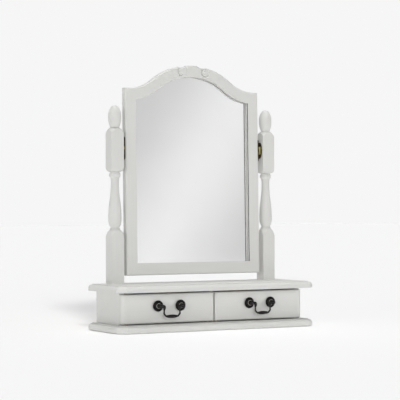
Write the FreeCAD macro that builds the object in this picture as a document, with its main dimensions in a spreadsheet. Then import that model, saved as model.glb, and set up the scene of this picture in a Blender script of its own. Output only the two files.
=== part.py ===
import FreeCAD, Part
import math
import os
import re

import Sketcher

# Free-standing dressing-table mirror: a shallow case with two drawers, two turned posts and
# an arched mirror that swings between them. Millimetres; +Z is up, the drawers face -Y, and the
# origin is on the table, under the middle of the base board.

SIZES = {
    # Base and top boards: one outline with canted front corners and a thumbnail-moulded edge.
    "base_width": 500.0,
    "base_depth": 160.0,
    "base_thick": 17.0,
    "top_thick": 15.0,
    "corner_cant": 17.0,
    "quirk_depth": 1.5,
    "quirk_ledge": 2.0,
    "ovolo_radius": 7.5,
    "base_round": 5.0,
    # Case between the boards.
    "side_overhang": 20.0,
    "front_overhang": 31.5,
    "case_height": 71.0,
    "side_thick": 12.0,
    "divider_thick": 12.0,
    "back_thick": 6.0,
    # Drawers.
    "drawer_front_thick": 12.0,
    "front_round": 3.5,
    "front_end_round": 9.0,
    "foot_gap": 2.0,
    "head_gap": 4.5,
    "front_split": 3.0,
    "stop_gap": 0.5,
    "side_play": 1.0,
    "runner_play": 0.3,
    "end_gap": 4.0,
    "drawer_side_thick": 8.0,
    "drawer_side_height": 54.0,
    "drawer_base_thick": 3.0,
    "drawer_base_rise": 5.0,
    "groove_depth": 4.0,
    # Drop handles.
    "handle_rise": 4.5,
    "handle_spacing": 55.5,
    "boss_reach": 16.0,
    "rosette_foot_radius": 9.6,
    "rosette_radius": 12.4,
    "rosette_flare_height": 3.2,
    "rosette_rim_height": 4.8,
    "rosette_ring_radius": 9.2,
    "rosette_ring_height": 6.4,
    "rosette_cap_radius": 6.3,
    "rosette_cap_height": 8.0,
    "rosette_bevel": 0.8,
    "ball_neck_radius": 3.1,
    "ball_radius": 5.2,
    "stem_radius": 2.0,
    "stem_tail": 5.0,
    "nut_radius": 4.2,
    "nut_thick": 3.0,
    "bail_radius": 2.0,
    "bail_play": 0.1,
    "bail_drop": 22.5,
    "bail_throat": 18.3,
    "bail_belly": 19.6,
    "bail_belly_drop": 17.0,
    "throat_bend": 2.7,
    "belly_bend": 3.6,
    "heel_bend": 3.6,
    "bail_end": 1.0,
    "grip_half": 14.5,
    "grip_inset": 2.5,
    "grip_radius": 3.6,
    # Posts: square stock turned between two blocks, measured upwards from the foot.
    "post_section": 30.5,
    "post_end_inset": 53.75,
    "post_setback": 26.0,
    "foot_block": 103.5,
    "foot_taper": 21.5,
    "vase_swell": 18.0,
    "vase_taper": 84.0,
    "collar_length": 9.5,
    "bead_height": 11.5,
    "block_foot": 12.5,
    "upper_block": 74.0,
    "block_shoulder": 13.5,
    "finial_swell": 20.5,
    "finial_band": 7.0,
    "finial_dome": 22.0,
    "neck_radius": 9.8,
    "vase_radius": 15.0,
    "waist_radius": 9.0,
    "collar_radius": 10.2,
    "bead_radius": 13.0,
    "finial_radius": 14.6,
    "taper_turn": 12.9,
    "taper_turn_radius": 15.7,
    "taper_swell_radius": 43.0,
    "taper_hollow_radius": 21.5,
    "collar_hollow_radius": 38.0,
    "shoulder_swell_radius": 27.0,
    "bead_step": 1.0,
    "turning_waste": 1.0,
    # Mirror frame and glass, measured from the swivel axis.
    "mirror_clear": 17.3,
    "mirror_lean": 1.0,
    "pivot_rise": 5.0,
    "shoulder_rise": 135.4,
    "crest_rise": 56.6,
    "crest_ease": 19.0,
    "shoulder_flat": 11.0,
    "frame_member": 27.0,
    "frame_round": 4.0,
    "lip_thick": 7.0,
    "glass_thick": 4.0,
    "backing_thick": 4.0,
    "rebate_lap": 6.0,
    "glass_play": 1.0,
    "scallop_radius": 26.0,
    "scallop_depth": 2.9,
    "scallop_offset": 28.0,
    "clip_length": 16.0,
    "clip_width": 9.0,
    "clip_thick": 1.0,
    "clip_spread": 130.0,
    # Swivel fittings.
    "swivel_gap": 8.0,
    "plate_thick": 1.5,
    "plate_boss_height": 1.2,
    "plate_boss_radius": 5.0,
    "washer_radius": 6.5,
    "washer_play": 0.3,
    "pin_radius": 2.5,
    "pin_depth": 8.0,
    "pin_play": 0.06,
    "post_plate_height": 38.0,
    "post_plate_width": 20.0,
    "frame_plate_height": 52.0,
    "frame_plate_width": 12.0,
    "plate_screw_inset": 6.5,
    # Fixings.
    "fit_clear": 0.05,
    "tip_gap": 1.0,
    "screw_radius": 1.75,
    "screw_head": 3.5,
    "screw_bite": 18.0,
    "post_screw_radius": 2.5,
    "post_screw_head": 5.0,
    "post_screw_bite": 40.0,
    "small_screw_radius": 1.2,
    "small_screw_head": 2.3,
    "small_screw_head_height": 0.9,
    "small_screw_bite": 9.0,
    "clip_screw_bite": 6.0,
    "dowel_radius": 3.0,
    "dowel_bite": 10.0,
    "dowel_clear": 6.0,
    "drawer_dowel_radius": 2.0,
    "drawer_dowel_bite": 6.0,
    "pin_nail_radius": 0.8,
    "pin_nail_bite": 12.0,
    "joint_inset": 20.0,
    "frame_dowel_radius": 2.5,
    "frame_dowel_inset": 6.0,
    "frame_dowel_spacing": 8.0,
    "frame_dowel_bite": 12.0,
}

doc = FreeCAD.newDocument("dressing_table_mirror")
sheet = doc.addObject("Spreadsheet::Sheet", "Sizes")
for row, (alias, size) in enumerate(SIZES.items(), start=1):
    sheet.set(f"A{row}", alias)
    sheet.set(f"B{row}", str(size))
    sheet.setAlias(f"B{row}", alias)
doc.recompute()

nodes = []


# ---------------------------------------------------------------------------------- helpers

def bound(text):
    """An expression in plain size names, with each name tied to its cell of the sheet."""
    return re.sub(r"[a-z_]+", lambda word: f"Sizes.{word[0]}" if word[0] in SIZES else word[0], str(text))


def number(text):
    """The present value of an expression in size names."""
    return float(sheet.evalExpression(bound(text)))


def node(item, name):
    """Name a finished sub-part and list it for checking and export."""
    item.Label = name
    nodes.append(item)
    return item


def place(item, spot, turn=None):
    """Set an object at a spot given in sizes, with a fixed turn."""
    if turn:
        item.Placement = FreeCAD.Placement(FreeCAD.Vector(), turn)
    for axis, text in zip("xyz", spot):
        item.setExpression(f"Placement.Base.{axis}", bound(text))
    return item


def box(name, low, high):
    """A board between two corners."""
    board = doc.addObject("Part::Box", name)
    for size, start, end in zip(("Length", "Width", "Height"), low, high):
        board.setExpression(size, bound(f"({end}) - ({start})"))
    return place(board, low)


# Turns that point a primitive's own +Z along a named direction.
AIM = {
    "+x": FreeCAD.Rotation(FreeCAD.Vector(0, 1, 0), 90),
    "-x": FreeCAD.Rotation(FreeCAD.Vector(0, 1, 0), -90),
    "+y": FreeCAD.Rotation(FreeCAD.Vector(1, 0, 0), -90),
    "-y": FreeCAD.Rotation(FreeCAD.Vector(1, 0, 0), 90),
    "+z": FreeCAD.Rotation(),
    "-z": FreeCAD.Rotation(FreeCAD.Vector(1, 0, 0), 180),
}


def rod(name, aim, spot, length, radius):
    """A round bar that starts at a spot and runs along aim."""
    bar = doc.addObject("Part::Cylinder", name)
    bar.setExpression("Height", bound(length))
    bar.setExpression("Radius", bound(radius))
    return place(bar, spot, AIM[aim])


def group(name, items):
    """Several separate solids held as one object."""
    bundle = doc.addObject("Part::Compound", name)
    bundle.Links = items
    return bundle


def fuse(name, items):
    """Overlapping solids joined into one."""
    joined = doc.addObject("Part::MultiFuse", name)
    joined.Shapes = items
    return joined


def cut(name, base, tool):
    """A solid with another taken out of it."""
    rest = doc.addObject("Part::Cut", name)
    rest.Base = base
    rest.Tool = tool
    return rest


def screw(name, aim, spot, length, shank, head, grow="0"):
    """A countersunk screw whose head face lies at a spot; grow makes the hole for it instead."""
    cone = doc.addObject("Part::Cone", f"{name}_head")
    cone.setExpression("Radius1", bound(f"{head} + {grow}"))
    cone.setExpression("Radius2", bound(f"{shank} + {grow}"))
    cone.setExpression("Height", bound(f"{head} - {shank}"))
    place(cone, spot, AIM[aim])
    return fuse(name, [cone, rod(f"{name}_shank", aim, spot, length, f"{shank} + {grow}")])


def screw_set(name, aim, spots, length, shank, head):
    """A set of equal countersunk screws, and the holes that take them."""
    screws = [screw(f"{name}_{turn}", aim, spot, length, shank, head) for turn, spot in enumerate(spots)]
    holes = [
        screw(f"{name}_hole_{turn}", aim, spot, f"{length} + tip_gap", shank, head, "fit_clear")
        for turn, spot in enumerate(spots)
    ]
    return group(name, screws), group(f"{name}_holes", holes)


def rod_set(name, aim, spots, length, radius):
    """A set of equal dowels or pins, and the holes that take them."""
    rods = [rod(f"{name}_{turn}", aim, spot, length, radius) for turn, spot in enumerate(spots)]
    holes = [
        rod(f"{name}_hole_{turn}", aim, spot, length, f"{radius} + fit_clear")
        for turn, spot in enumerate(spots)
    ]
    return group(name, rods), group(f"{name}_holes", holes)


def sketch_on(body, plane, lift="0"):
    """An empty sketch on one of a body's origin planes, lifted along the plane's normal."""
    sketch = body.newObject("Sketcher::SketchObject", f"{body.Name}_sketch")
    support = [item for item in body.Origin.OriginFeatures if item.Role == plane][0]
    sketch.AttachmentSupport = [(support, "")]
    sketch.MapMode = "FlatFace"
    sketch.setExpression("AttachmentOffset.Base.z", bound(lift))
    return sketch


def arc_between(start, end, radius, bend):
    """The shorter arc between two points, turning left or right on the way."""
    chord = end.sub(start)
    half = chord.Length / 2
    rise = radius - math.sqrt(radius * radius - half * half)
    side = FreeCAD.Vector(chord.y, -chord.x, 0).normalize()
    if bend == "left":
        return Part.Arc(start, (start + end) * 0.5 + side * rise, end)
    return Part.Arc(end, (start + end) * 0.5 - side * rise, start)


def pin_point(sketch, edge, end, spot):
    """Tie one end of a sketch edge to a place given in sizes."""
    for kind, axis, text in zip(("DistanceX", "DistanceY"), (-2, -1), spot):
        if text == "0":
            sketch.addConstraint(Sketcher.Constraint("PointOnObject", edge, end, axis))
        else:
            constraint = Sketcher.Constraint(kind, -1, 1, edge, end, number(text))
            index = sketch.addConstraint(constraint)
            sketch.setExpression(f"Constraints[{index}]", bound(text))


def draw(sketch, corners):
    """A closed outline. A corner is (x, y), or (x, y, radius, bend) where an arc leaves it."""
    spots = [FreeCAD.Vector(number(corner[0]), number(corner[1]), 0) for corner in corners]
    ends = []
    for index, corner in enumerate(corners):
        start = spots[index]
        end = spots[(index + 1) % len(spots)]
        if len(corner) == 2:
            edge = sketch.addGeometry(Part.LineSegment(start, end), False)
            ends.append((1, 2))
        else:
            edge = sketch.addGeometry(arc_between(start, end, number(corner[2]), corner[3]), False)
            ends.append((1, 2) if corner[3] == "left" else (2, 1))
            radius = sketch.addConstraint(Sketcher.Constraint("Radius", edge, number(corner[2])))
            sketch.setExpression(f"Constraints[{radius}]", bound(corner[2]))
        pin_point(sketch, edge, ends[index][0], corner[:2])
    for index in range(len(corners)):
        before = index - 1 if index else len(corners) - 1
        sketch.addConstraint(
            Sketcher.Constraint("Coincident", before, ends[before][1], index, ends[index][0])
        )
    return sketch


def rectangle(low_x, low_y, high_x, high_y):
    """The four corners of a rectangle."""
    return [(low_x, low_y), (high_x, low_y), (high_x, high_y), (low_x, high_y)]


def pad(body, sketch, length, middle=False, back=False):
    """Extrude a sketch along its normal, both ways, or backwards."""
    feature = body.newObject("PartDesign::Pad", f"{body.Name}_pad")
    feature.Profile = sketch
    feature.setExpression("Length", bound(length))
    feature.Midplane = middle
    feature.Reversed = back
    doc.recompute()
    return feature


def pocket(body, sketch):
    """Cut a sketch's area away through everything behind its plane."""
    before = body.Shape.Volume
    feature = body.newObject("PartDesign::Pocket", f"{body.Name}_pocket")
    feature.Profile = sketch
    feature.Type = 1
    doc.recompute()
    if not body.Shape.Volume < before:
        raise RuntimeError(f"{body.Label}: the pocket cut nothing")
    return feature


def fillet(body, feature, radius, chosen):
    """Round the edges of a feature whose middle point passes a test."""
    names = []
    for index, edge in enumerate(feature.Shape.Edges, start=1):
        middle = edge.valueAt((edge.FirstParameter + edge.LastParameter) / 2)
        if chosen(middle, edge):
            names.append(f"Edge{index}")
    rounding = body.newObject("PartDesign::Fillet", f"{body.Name}_fillet")
    rounding.Base = (feature, names)
    rounding.setExpression("Radius", bound(radius))
    doc.recompute()
    return rounding


def same(first, second):
    """Two lengths that agree to a thousandth of a millimetre."""
    return abs(first - second) < 0.001


# ------------------------------------------------------------------------- shared places

CASE_TOP = "(base_thick + case_height)"
BOARD_TOP = "(base_thick + case_height + top_thick)"
BACK = "(base_depth / 2)"
FACE = "(front_overhang - base_depth / 2)"
FACE_BACK = f"({FACE} + drawer_front_thick)"
CASE_FRONT = f"({FACE_BACK} + stop_gap)"
CASE_END = f"({BACK} - back_thick)"
CASE_HALF = "(base_width / 2 - side_overhang)"
BAY_OUTER = f"({CASE_HALF} - side_thick)"
BAY_INNER = "(divider_thick / 2)"
POST_X = "(base_width / 2 - post_end_inset)"
POST_Y = "(base_depth / 2 - post_setback)"
BLOCK_START = (
    "(foot_block + foot_taper + vase_swell + vase_taper + collar_length + bead_height + block_foot)"
)
PIVOT = f"({BLOCK_START} + upper_block / 2 + pivot_rise)"
PIVOT_Z = f"({BOARD_TOP} + {PIVOT})"
FRAME_THICK = "(lip_thick + glass_thick + backing_thick)"
MIRROR_HALF = f"({POST_X} - post_section / 2 - swivel_gap)"
SIGHT_HALF = f"({MIRROR_HALF} - frame_member)"
CREST_RADIUS = f"({SIGHT_HALF} + crest_ease)"
CREST_CENTRE = f"(shoulder_rise + crest_rise - {CREST_RADIUS})"
COVE_START = f"({MIRROR_HALF} - shoulder_flat)"
FRAME_FOOT = f"(mirror_clear - {PIVOT})"
SIDES = {"left": "-", "right": ""}


# ---------------------------------------------------------------------------------- case

def board_plan(inset):
    """Plan of a board with canted front corners, drawn in by inset on the front and the sides."""
    half = f"(base_width / 2 - {inset})"
    front = f"({inset} - base_depth / 2)"
    cant = f"(corner_cant - (2 - sqrt(2)) * {inset})"
    return [
        (f"-{half}", BACK),
        (f"-{half}", f"{front} + {cant}"),
        (f"-{half} + {cant}", front),
        (f"{half} - {cant}", front),
        (half, f"{front} + {cant}"),
        (half, BACK),
    ]


def moulded_board(name, thick, level, rounded_foot):
    """A board with an ovolo and a quirk round its front and sides, and an optional round below."""
    body = doc.addObject("PartDesign::Body", name)
    slab_thick = f"({thick} - quirk_depth)"
    slab = pad(body, draw(sketch_on(body, "XY_Plane"), board_plan("0")), slab_thick)
    back = number(BACK)
    slab_top = number(slab_thick)

    def rim(height):
        return lambda middle, edge: same(middle.z, height) and not same(middle.y, back)

    feature = fillet(body, slab, "ovolo_radius", rim(slab_top))
    if rounded_foot:
        feature = fillet(body, feature, "base_round", rim(0))
    raised = board_plan("(quirk_ledge + ovolo_radius)")
    pad(body, draw(sketch_on(body, "XY_Plane", slab_thick), raised), "quirk_depth")
    return place(body, ("0", "0", level))


panel_middle = f"({CASE_HALF} - side_thick / 2)"
joint_rows = (f"({CASE_FRONT} + joint_inset)", f"({POST_Y} - post_section / 2 - dowel_clear)")
joint_columns = (f"-{panel_middle}", "0", panel_middle)

case_screws, case_screw_holes = screw_set(
    "case_screws", "+z", [(x, y, "0") for x in joint_columns for y in joint_rows],
    "(base_thick + screw_bite)", "screw_radius", "screw_head",
)
top_dowels, top_dowel_holes = rod_set(
    "top_dowels", "+z", [(x, y, f"{CASE_TOP} - dowel_bite") for x in joint_columns for y in joint_rows],
    "(2 * dowel_bite)", "dowel_radius",
)
post_screws, post_screw_holes = screw_set(
    "post_screws", "+z", [(f"{sign}{POST_X}", POST_Y, CASE_TOP) for sign in SIDES.values()],
    "(top_thick + post_screw_bite)", "post_screw_radius", "post_screw_head",
)
pin_heights = ("(base_thick + joint_inset)", f"({CASE_TOP} - joint_inset)")
divider_pins = rod_set(
    "divider_pins", "-y", [("0", BACK, z) for z in pin_heights],
    "(back_thick + pin_nail_bite)", "pin_nail_radius",
)
edge_pins = [
    rod_set(
        f"edge_pins_{side}", "-x" if sign == "" else "+x",
        [(f"{sign}{CASE_HALF}", f"({BACK} - back_thick / 2)", z) for z in pin_heights],
        "(side_thick + pin_nail_bite)", "pin_nail_radius",
    )
    for side, sign in SIDES.items()
]
back_pins = group("back_panel_pins", [pins for pins, _ in [divider_pins, *edge_pins]])
back_pin_holes = group("back_panel_pin_holes", [holes for _, holes in [divider_pins, *edge_pins]])

case_holes = group("case_holes", [case_screw_holes, top_dowel_holes, back_pin_holes])

base = moulded_board("base_blank", "base_thick", "0", True)
node(cut("drilled_base", base, case_screw_holes), "base_board")
node(
    cut("drilled_top", moulded_board("top_blank", "top_thick", CASE_TOP, False),
        group("top_holes", [top_dowel_holes, post_screw_holes])),
    "top_board",
)
for side, sign in SIDES.items():
    inner, outer = (BAY_OUTER, CASE_HALF) if sign == "" else (f"-{CASE_HALF}", f"-{BAY_OUTER}")
    panel = box(f"side_blank_{side}", (inner, CASE_FRONT, "base_thick"), (outer, BACK, CASE_TOP))
    node(cut(f"side_panel_{side}", panel, case_holes), f"side_panel_{side}")
divider = box(
    "divider_blank", (f"-{BAY_INNER}", CASE_FRONT, "base_thick"), (BAY_INNER, CASE_END, CASE_TOP)
)
node(cut("centre_divider", divider, case_holes), "centre_divider")
back_panel = box("back_blank", (f"-{BAY_OUTER}", CASE_END, "base_thick"), (BAY_OUTER, BACK, CASE_TOP))
node(cut("back_panel", back_panel, case_holes), "back_panel")
node(case_screws, "case_screws")
node(top_dowels, "top_dowels")
node(back_pins, "back_panel_pins")
node(post_screws, "post_screws")


# -------------------------------------------------------------------------------- posts

def post_profile():
    """The waste outside the turned outline, from the foot block up to the tip of the finial."""
    waste = "post_section"
    corner = "(post_section / sqrt(2))"
    neck = "(foot_block + foot_taper)"
    widest = f"({neck} + vase_swell)"
    waist = f"({widest} + vase_taper)"
    bead = f"({waist} + collar_length)"
    bead_end = f"({bead} + bead_height)"
    block_end = f"({BLOCK_START} + upper_block)"
    top_neck = f"({block_end} + block_shoulder)"
    band = f"({top_neck} + finial_swell)"
    dome = f"({band} + finial_band)"
    tip = f"({dome} + finial_dome)"
    mid_taper = f"({widest} + vase_taper / 2)"
    mid_radius = "((vase_radius + waist_radius) / 2)"
    quarter = "sqrt(0.5)"
    foot_rise = "(block_foot - bead_step)"

    def end_upright(run, rise):
        """Radius of an arc that starts or ends upright and moves by run sideways over rise."""
        return f"((({run}) ^ 2 + ({rise}) ^ 2) / (2 * ({run})))"

    return [
        (waste, "foot_block"),
        (corner, "foot_block", "taper_swell_radius", "left"),
        ("taper_turn_radius", "(foot_block + taper_turn)", "taper_hollow_radius", "right"),
        ("neck_radius", neck, end_upright("vase_radius - neck_radius", "vase_swell"), "left"),
        ("vase_radius", widest, end_upright("(vase_radius - waist_radius) / 2", "vase_taper / 2"), "left"),
        (mid_radius, mid_taper, end_upright("(vase_radius - waist_radius) / 2", "vase_taper / 2"), "right"),
        ("waist_radius", waist, "collar_hollow_radius", "right"),
        ("collar_radius", bead, end_upright("bead_radius - collar_radius", "bead_height / 2"), "left"),
        ("collar_radius", bead_end),
        (f"({corner} - {foot_rise})", f"({bead_end} + bead_step)", foot_rise, "left"),
        (corner, BLOCK_START),
        (corner, block_end, "shoulder_swell_radius", "left"),
        ("neck_radius", top_neck, end_upright("finial_radius - neck_radius", "finial_swell"), "left"),
        ("finial_radius", band),
        (
            "finial_radius", dome,
            end_upright(f"finial_radius * (1 - {quarter})", f"finial_dome * {quarter}"), "left",
        ),
        (
            f"(finial_radius * {quarter})", f"({dome} + finial_dome * {quarter})",
            end_upright(f"finial_dome * (1 - {quarter})", f"finial_radius * {quarter}"), "left",
        ),
        ("0", tip),
        ("0", f"({tip} + turning_waste)"),
        (waste, f"({tip} + turning_waste)"),
    ]


def turned_post(name):
    """Square stock turned away between its two blocks and above the upper one."""
    body = doc.addObject("PartDesign::Body", name)
    half = "(post_section / 2)"
    tip = f"({BLOCK_START} + upper_block + block_shoulder + finial_swell + finial_band + finial_dome)"
    pad(body, draw(sketch_on(body, "XY_Plane"), rectangle(f"-{half}", f"-{half}", half, half)), tip)
    stock = body.Shape.Volume
    turning = body.newObject("PartDesign::Groove", f"{name}_turning")
    turning.Profile = draw(sketch_on(body, "XZ_Plane"), post_profile())
    turning.ReferenceAxis = (turning.Profile[0], ["V_Axis"])
    turning.Angle = 360
    doc.recompute()
    if not body.Shape.Volume < stock:
        raise RuntimeError(f"{name}: the turning removed nothing")
    return body


# ----------------------------------------------------------------------- mirror frame

def cove_radius(offset):
    """Radius of the hollow between each shoulder and the crest, drawn in by offset."""
    drop = f"({CREST_RADIUS} - crest_rise)"
    outer = f"(({COVE_START} ^ 2 + {drop} ^ 2 - {CREST_RADIUS} ^ 2) / (2 * crest_rise))"
    return f"({outer} + {offset})"


def cove_level(offset, x):
    """Height of that hollow at x from the middle plane."""
    radius = cove_radius(offset)
    return f"(shoulder_rise - {offset} + {radius} - sqrt({radius} ^ 2 - ({COVE_START} - {x}) ^ 2))"


def arch(offset, half):
    """The arched top edge, from right to left, drawn in by offset, between x = -half and half.

    A cove rises from each shoulder and runs tangent into the crest's arc.
    """
    drop = f"({CREST_RADIUS} - crest_rise)"
    share = f"(({CREST_RADIUS} - {offset}) / ({CREST_RADIUS} + {cove_radius('0')}))"
    join_x = f"({COVE_START} * {share})"
    join_z = f"(shoulder_rise - {drop} + ({drop} + {cove_radius('0')}) * {share})"
    level = cove_level(offset, half)
    return [
        (half, level, cove_radius(offset), "right"),
        (join_x, join_z, f"({CREST_RADIUS} - {offset})", "left"),
        (f"-{join_x}", join_z, cove_radius(offset), "right"),
        (f"-{half}", level),
    ]


def walk_back(corners):
    """The same open outline from its other end, so that each arc bends the other way."""
    flipped = {"left": "right", "right": "left"}
    walk = []
    for corner, before in zip(reversed(corners), [*reversed(corners[:-1]), ()]):
        arc = (before[2], flipped[before[3]]) if len(before) == 4 else ()
        walk.append((*corner[:2], *arc))
    return walk


def outer_front_edges(axis, place_text):
    """Picks the front edge of a frame member on its outer side."""
    front = -number(FRAME_THICK) / 2
    where = number(place_text)
    return lambda middle, edge: same(middle.y, front) and same(getattr(middle, axis), where)


REBATE_LIFT = f"({FRAME_THICK} / 2 - lip_thick)"


def stile_top(sign, offset, reach):
    """The part of the arched edge that crosses a stile, anticlockwise, out to reach."""
    start = (SIGHT_HALF, cove_level(offset, SIGHT_HALF))
    if reach == MIRROR_HALF:
        far = [(reach, f"(shoulder_rise - {offset})"), (COVE_START, f"(shoulder_rise - {offset})")]
    else:
        far = [(reach, cove_level(offset, reach))]
    bend = (cove_radius(offset), "right")
    if sign == "":
        return [*far[:-1], (*far[-1], *bend), start]
    return [(f"-{x}", z, *arc) for x, z, *arc in [(*start, *bend), *reversed(far)]]


def frame_stile(name, sign):
    """An upright of the frame, rounded outside and rebated inside, in the mirror's own frame."""
    body = doc.addObject("PartDesign::Body", name)
    inner, outer = f"{sign}{SIGHT_HALF}", f"{sign}{MIRROR_HALF}"
    low, high = (inner, outer) if sign == "" else (outer, inner)
    foot_line = [(low, FRAME_FOOT), (high, FRAME_FOOT)]
    blank = [*foot_line, *stile_top(sign, "0", MIRROR_HALF)]
    feature = pad(body, draw(sketch_on(body, "XZ_Plane"), blank), FRAME_THICK, middle=True)
    front = -number(FRAME_THICK) / 2
    outside = number(outer)
    top = number("shoulder_rise")
    foot = number(FRAME_FOOT)
    fillet(
        body, feature, "frame_round",
        lambda middle, edge: same(middle.y, front)
        and (same(middle.x, outside) or same(middle.z, top) or same(middle.z, foot)),
    )
    rebate_x = f"{sign}({SIGHT_HALF} + rebate_lap)"
    low, high = (inner, rebate_x) if sign == "" else (rebate_x, inner)
    rebate_foot = f"({FRAME_FOOT} + frame_member - rebate_lap)"
    rebate = [(low, rebate_foot), (high, rebate_foot)]
    rebate += stile_top(sign, "(frame_member - rebate_lap)", f"({SIGHT_HALF} + rebate_lap)")
    pocket(body, draw(sketch_on(body, "XZ_Plane", REBATE_LIFT), rebate))
    return body


def bottom_rail(name):
    """The straight rail between the stiles' feet."""
    body = doc.addObject("PartDesign::Body", name)
    sight = f"({FRAME_FOOT} + frame_member)"
    blank = rectangle(f"-{SIGHT_HALF}", FRAME_FOOT, SIGHT_HALF, sight)
    feature = pad(body, draw(sketch_on(body, "XZ_Plane"), blank), FRAME_THICK, middle=True)
    fillet(body, feature, "frame_round", outer_front_edges("z", FRAME_FOOT))
    rebate = rectangle(f"-{SIGHT_HALF}", f"({sight} - rebate_lap)", SIGHT_HALF, sight)
    pocket(body, draw(sketch_on(body, "XZ_Plane", REBATE_LIFT), rebate))
    return body


def top_rail(name):
    """The arched rail with a scalloped crest."""
    body = doc.addObject("PartDesign::Body", name)
    upper = arch("0", SIGHT_HALF)
    lower = walk_back(arch("frame_member", SIGHT_HALF))
    feature = pad(body, draw(sketch_on(body, "XZ_Plane"), [*upper, *lower]), FRAME_THICK, middle=True)
    front = -number(FRAME_THICK) / 2
    centre = number(CREST_CENTRE)
    middle_line = number(f"{CREST_RADIUS} - frame_member / 2")
    sight = number(SIGHT_HALF)
    fillet(
        body, feature, "frame_round",
        lambda middle, edge: same(middle.y, front) and not same(abs(middle.x), sight)
        and math.hypot(middle.x, middle.z - centre) > middle_line,
    )
    rebate = [
        *arch("(frame_member - rebate_lap)", SIGHT_HALF),
        (f"-{SIGHT_HALF}", "(shoulder_rise - 2 * frame_member)"),
        (SIGHT_HALF, "(shoulder_rise - 2 * frame_member)"),
    ]
    pocket(body, draw(sketch_on(body, "XZ_Plane", REBATE_LIFT), rebate))
    return body


def glazing(name, lift, thick):
    """A sheet of the glass's outline, lift behind the middle of the frame."""
    body = doc.addObject("PartDesign::Body", name)
    lap = "(rebate_lap - glass_play)"
    half = f"({SIGHT_HALF} + {lap})"
    foot = f"({FRAME_FOOT} + frame_member - {lap})"
    outline = [*arch(f"(frame_member - {lap})", half), (f"-{half}", foot), (half, foot)]
    pad(body, draw(sketch_on(body, "XZ_Plane", lift), outline), thick, back=True)
    return body


def swing(item):
    """Set a piece of the mirror on the swivel axis with the mirror's slight backward lean."""
    item.Placement = FreeCAD.Placement(FreeCAD.Vector(), FreeCAD.Rotation(FreeCAD.Vector(1, 0, 0), -1))
    item.setExpression("Placement.Rotation.Angle", bound("-mirror_lean"))
    return place(item, ("0", POST_Y, PIVOT_Z))


frame_back = f"({FRAME_THICK} / 2)"
rail_heights = [
    f"({edge} {way} (frame_dowel_inset + {step} * frame_dowel_spacing))"
    for edge, way in ((FRAME_FOOT, "+"), ("shoulder_rise", "-"))
    for step in (0, 1)
]
frame_dowels, frame_dowel_holes = rod_set(
    "frame_dowels", "+x",
    [(f"({sign}{SIGHT_HALF} - frame_dowel_bite)", "0", z) for sign in SIDES.values() for z in rail_heights],
    "(2 * frame_dowel_bite)", "frame_dowel_radius",
)

clip_seat = "(rebate_lap - clip_length / 3)"
clip_level = f"(({FRAME_FOOT} + shoulder_rise) / 2)"
clip_rows = [f"({clip_level} + {step} * clip_spread)" for step in (-1, 0, 1)]
clip_out = f"({clip_seat} + clip_length / 2)"
clip_spots = [
    (f"{sign}({SIGHT_HALF} + {clip_out})", z, "upright") for sign in SIDES.values() for z in clip_rows
]
clip_spots += [
    (f"{sign}(clip_spread / 2)", f"({FRAME_FOOT} + frame_member - {clip_out})", "level")
    for sign in SIDES.values()
]
clip_spots += [("0", f"(shoulder_rise + crest_rise - frame_member + {clip_out})", "level")]


def clip(turn, spot):
    """A flat plate half on the frame and half on the backing."""
    x, z, run = spot
    wide, tall = ("clip_length", "clip_width") if run == "upright" else ("clip_width", "clip_length")
    return box(
        f"clip_{turn}", (f"({x} - {wide} / 2)", frame_back, f"({z} - {tall} / 2)"),
        (f"({x} + {wide} / 2)", f"({frame_back} + clip_thick)", f"({z} + {tall} / 2)"),
    )


def clip_screw_spot(spot):
    """The middle of the clip's half that lies on the frame."""
    x, z, run = spot
    step = "clip_length / 4"
    if run == "upright":
        return (f"({x} {'-' if x.startswith('-') else '+'} {step})", f"({frame_back} + clip_thick)", z)
    return (x, f"({frame_back} + clip_thick)", f"({z} {'+' if x == '0' else '-'} {step})")


def round_screws(name, aim, spots, bite, through):
    """Small screws with low round heads on a plate, and the holes that take their shanks."""
    screws = []
    holes = []
    away = {"+": "-", "-": "+"}[aim[0]] + aim[1]
    length = f"({bite} + {through})"
    for turn, spot in enumerate(spots):
        head = rod(f"{name}_head_{turn}", away, spot, "small_screw_head_height", "small_screw_head")
        shank = rod(f"{name}_shank_{turn}", aim, spot, length, "small_screw_radius")
        screws.append(fuse(f"{name}_{turn}", [head, shank]))
        holes.append(rod(
            f"{name}_hole_{turn}", aim, spot, f"({length} + tip_gap)", "(small_screw_radius + fit_clear)"
        ))
    return group(name, screws), group(f"{name}_holes", holes)


clip_screws, clip_screw_holes = round_screws(
    "clip_screws", "-y", [clip_screw_spot(spot) for spot in clip_spots], "clip_screw_bite", "clip_thick"
)
frame_plate_reach = "(frame_plate_height / 2 - plate_screw_inset)"
post_plate_reach = "(post_plate_height / 2 - plate_screw_inset)"
frame_plate_screws = {}
frame_plate_holes = {}
post_plate_screws = {}
post_plate_holes = {}
for side, sign in SIDES.items():
    inward = "-x" if sign == "" else "+x"
    outward = "+x" if sign == "" else "-x"
    frame_plate_screws[side], frame_plate_holes[side] = round_screws(
        f"frame_plate_screws_{side}", inward,
        [(f"{sign}({MIRROR_HALF} + plate_thick)", "0", f"{way}{frame_plate_reach}")
         for way in ("-", "")],
        "small_screw_bite", "plate_thick",
    )
    post_plate_screws[side], post_plate_holes[side] = round_screws(
        f"post_plate_screws_{side}", outward,
        [(f"{sign}({MIRROR_HALF} + swivel_gap - plate_thick)", POST_Y,
          f"({PIVOT_Z} {way} {post_plate_reach})") for way in ("-", "+")],
        "small_screw_bite", "plate_thick",
    )

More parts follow.
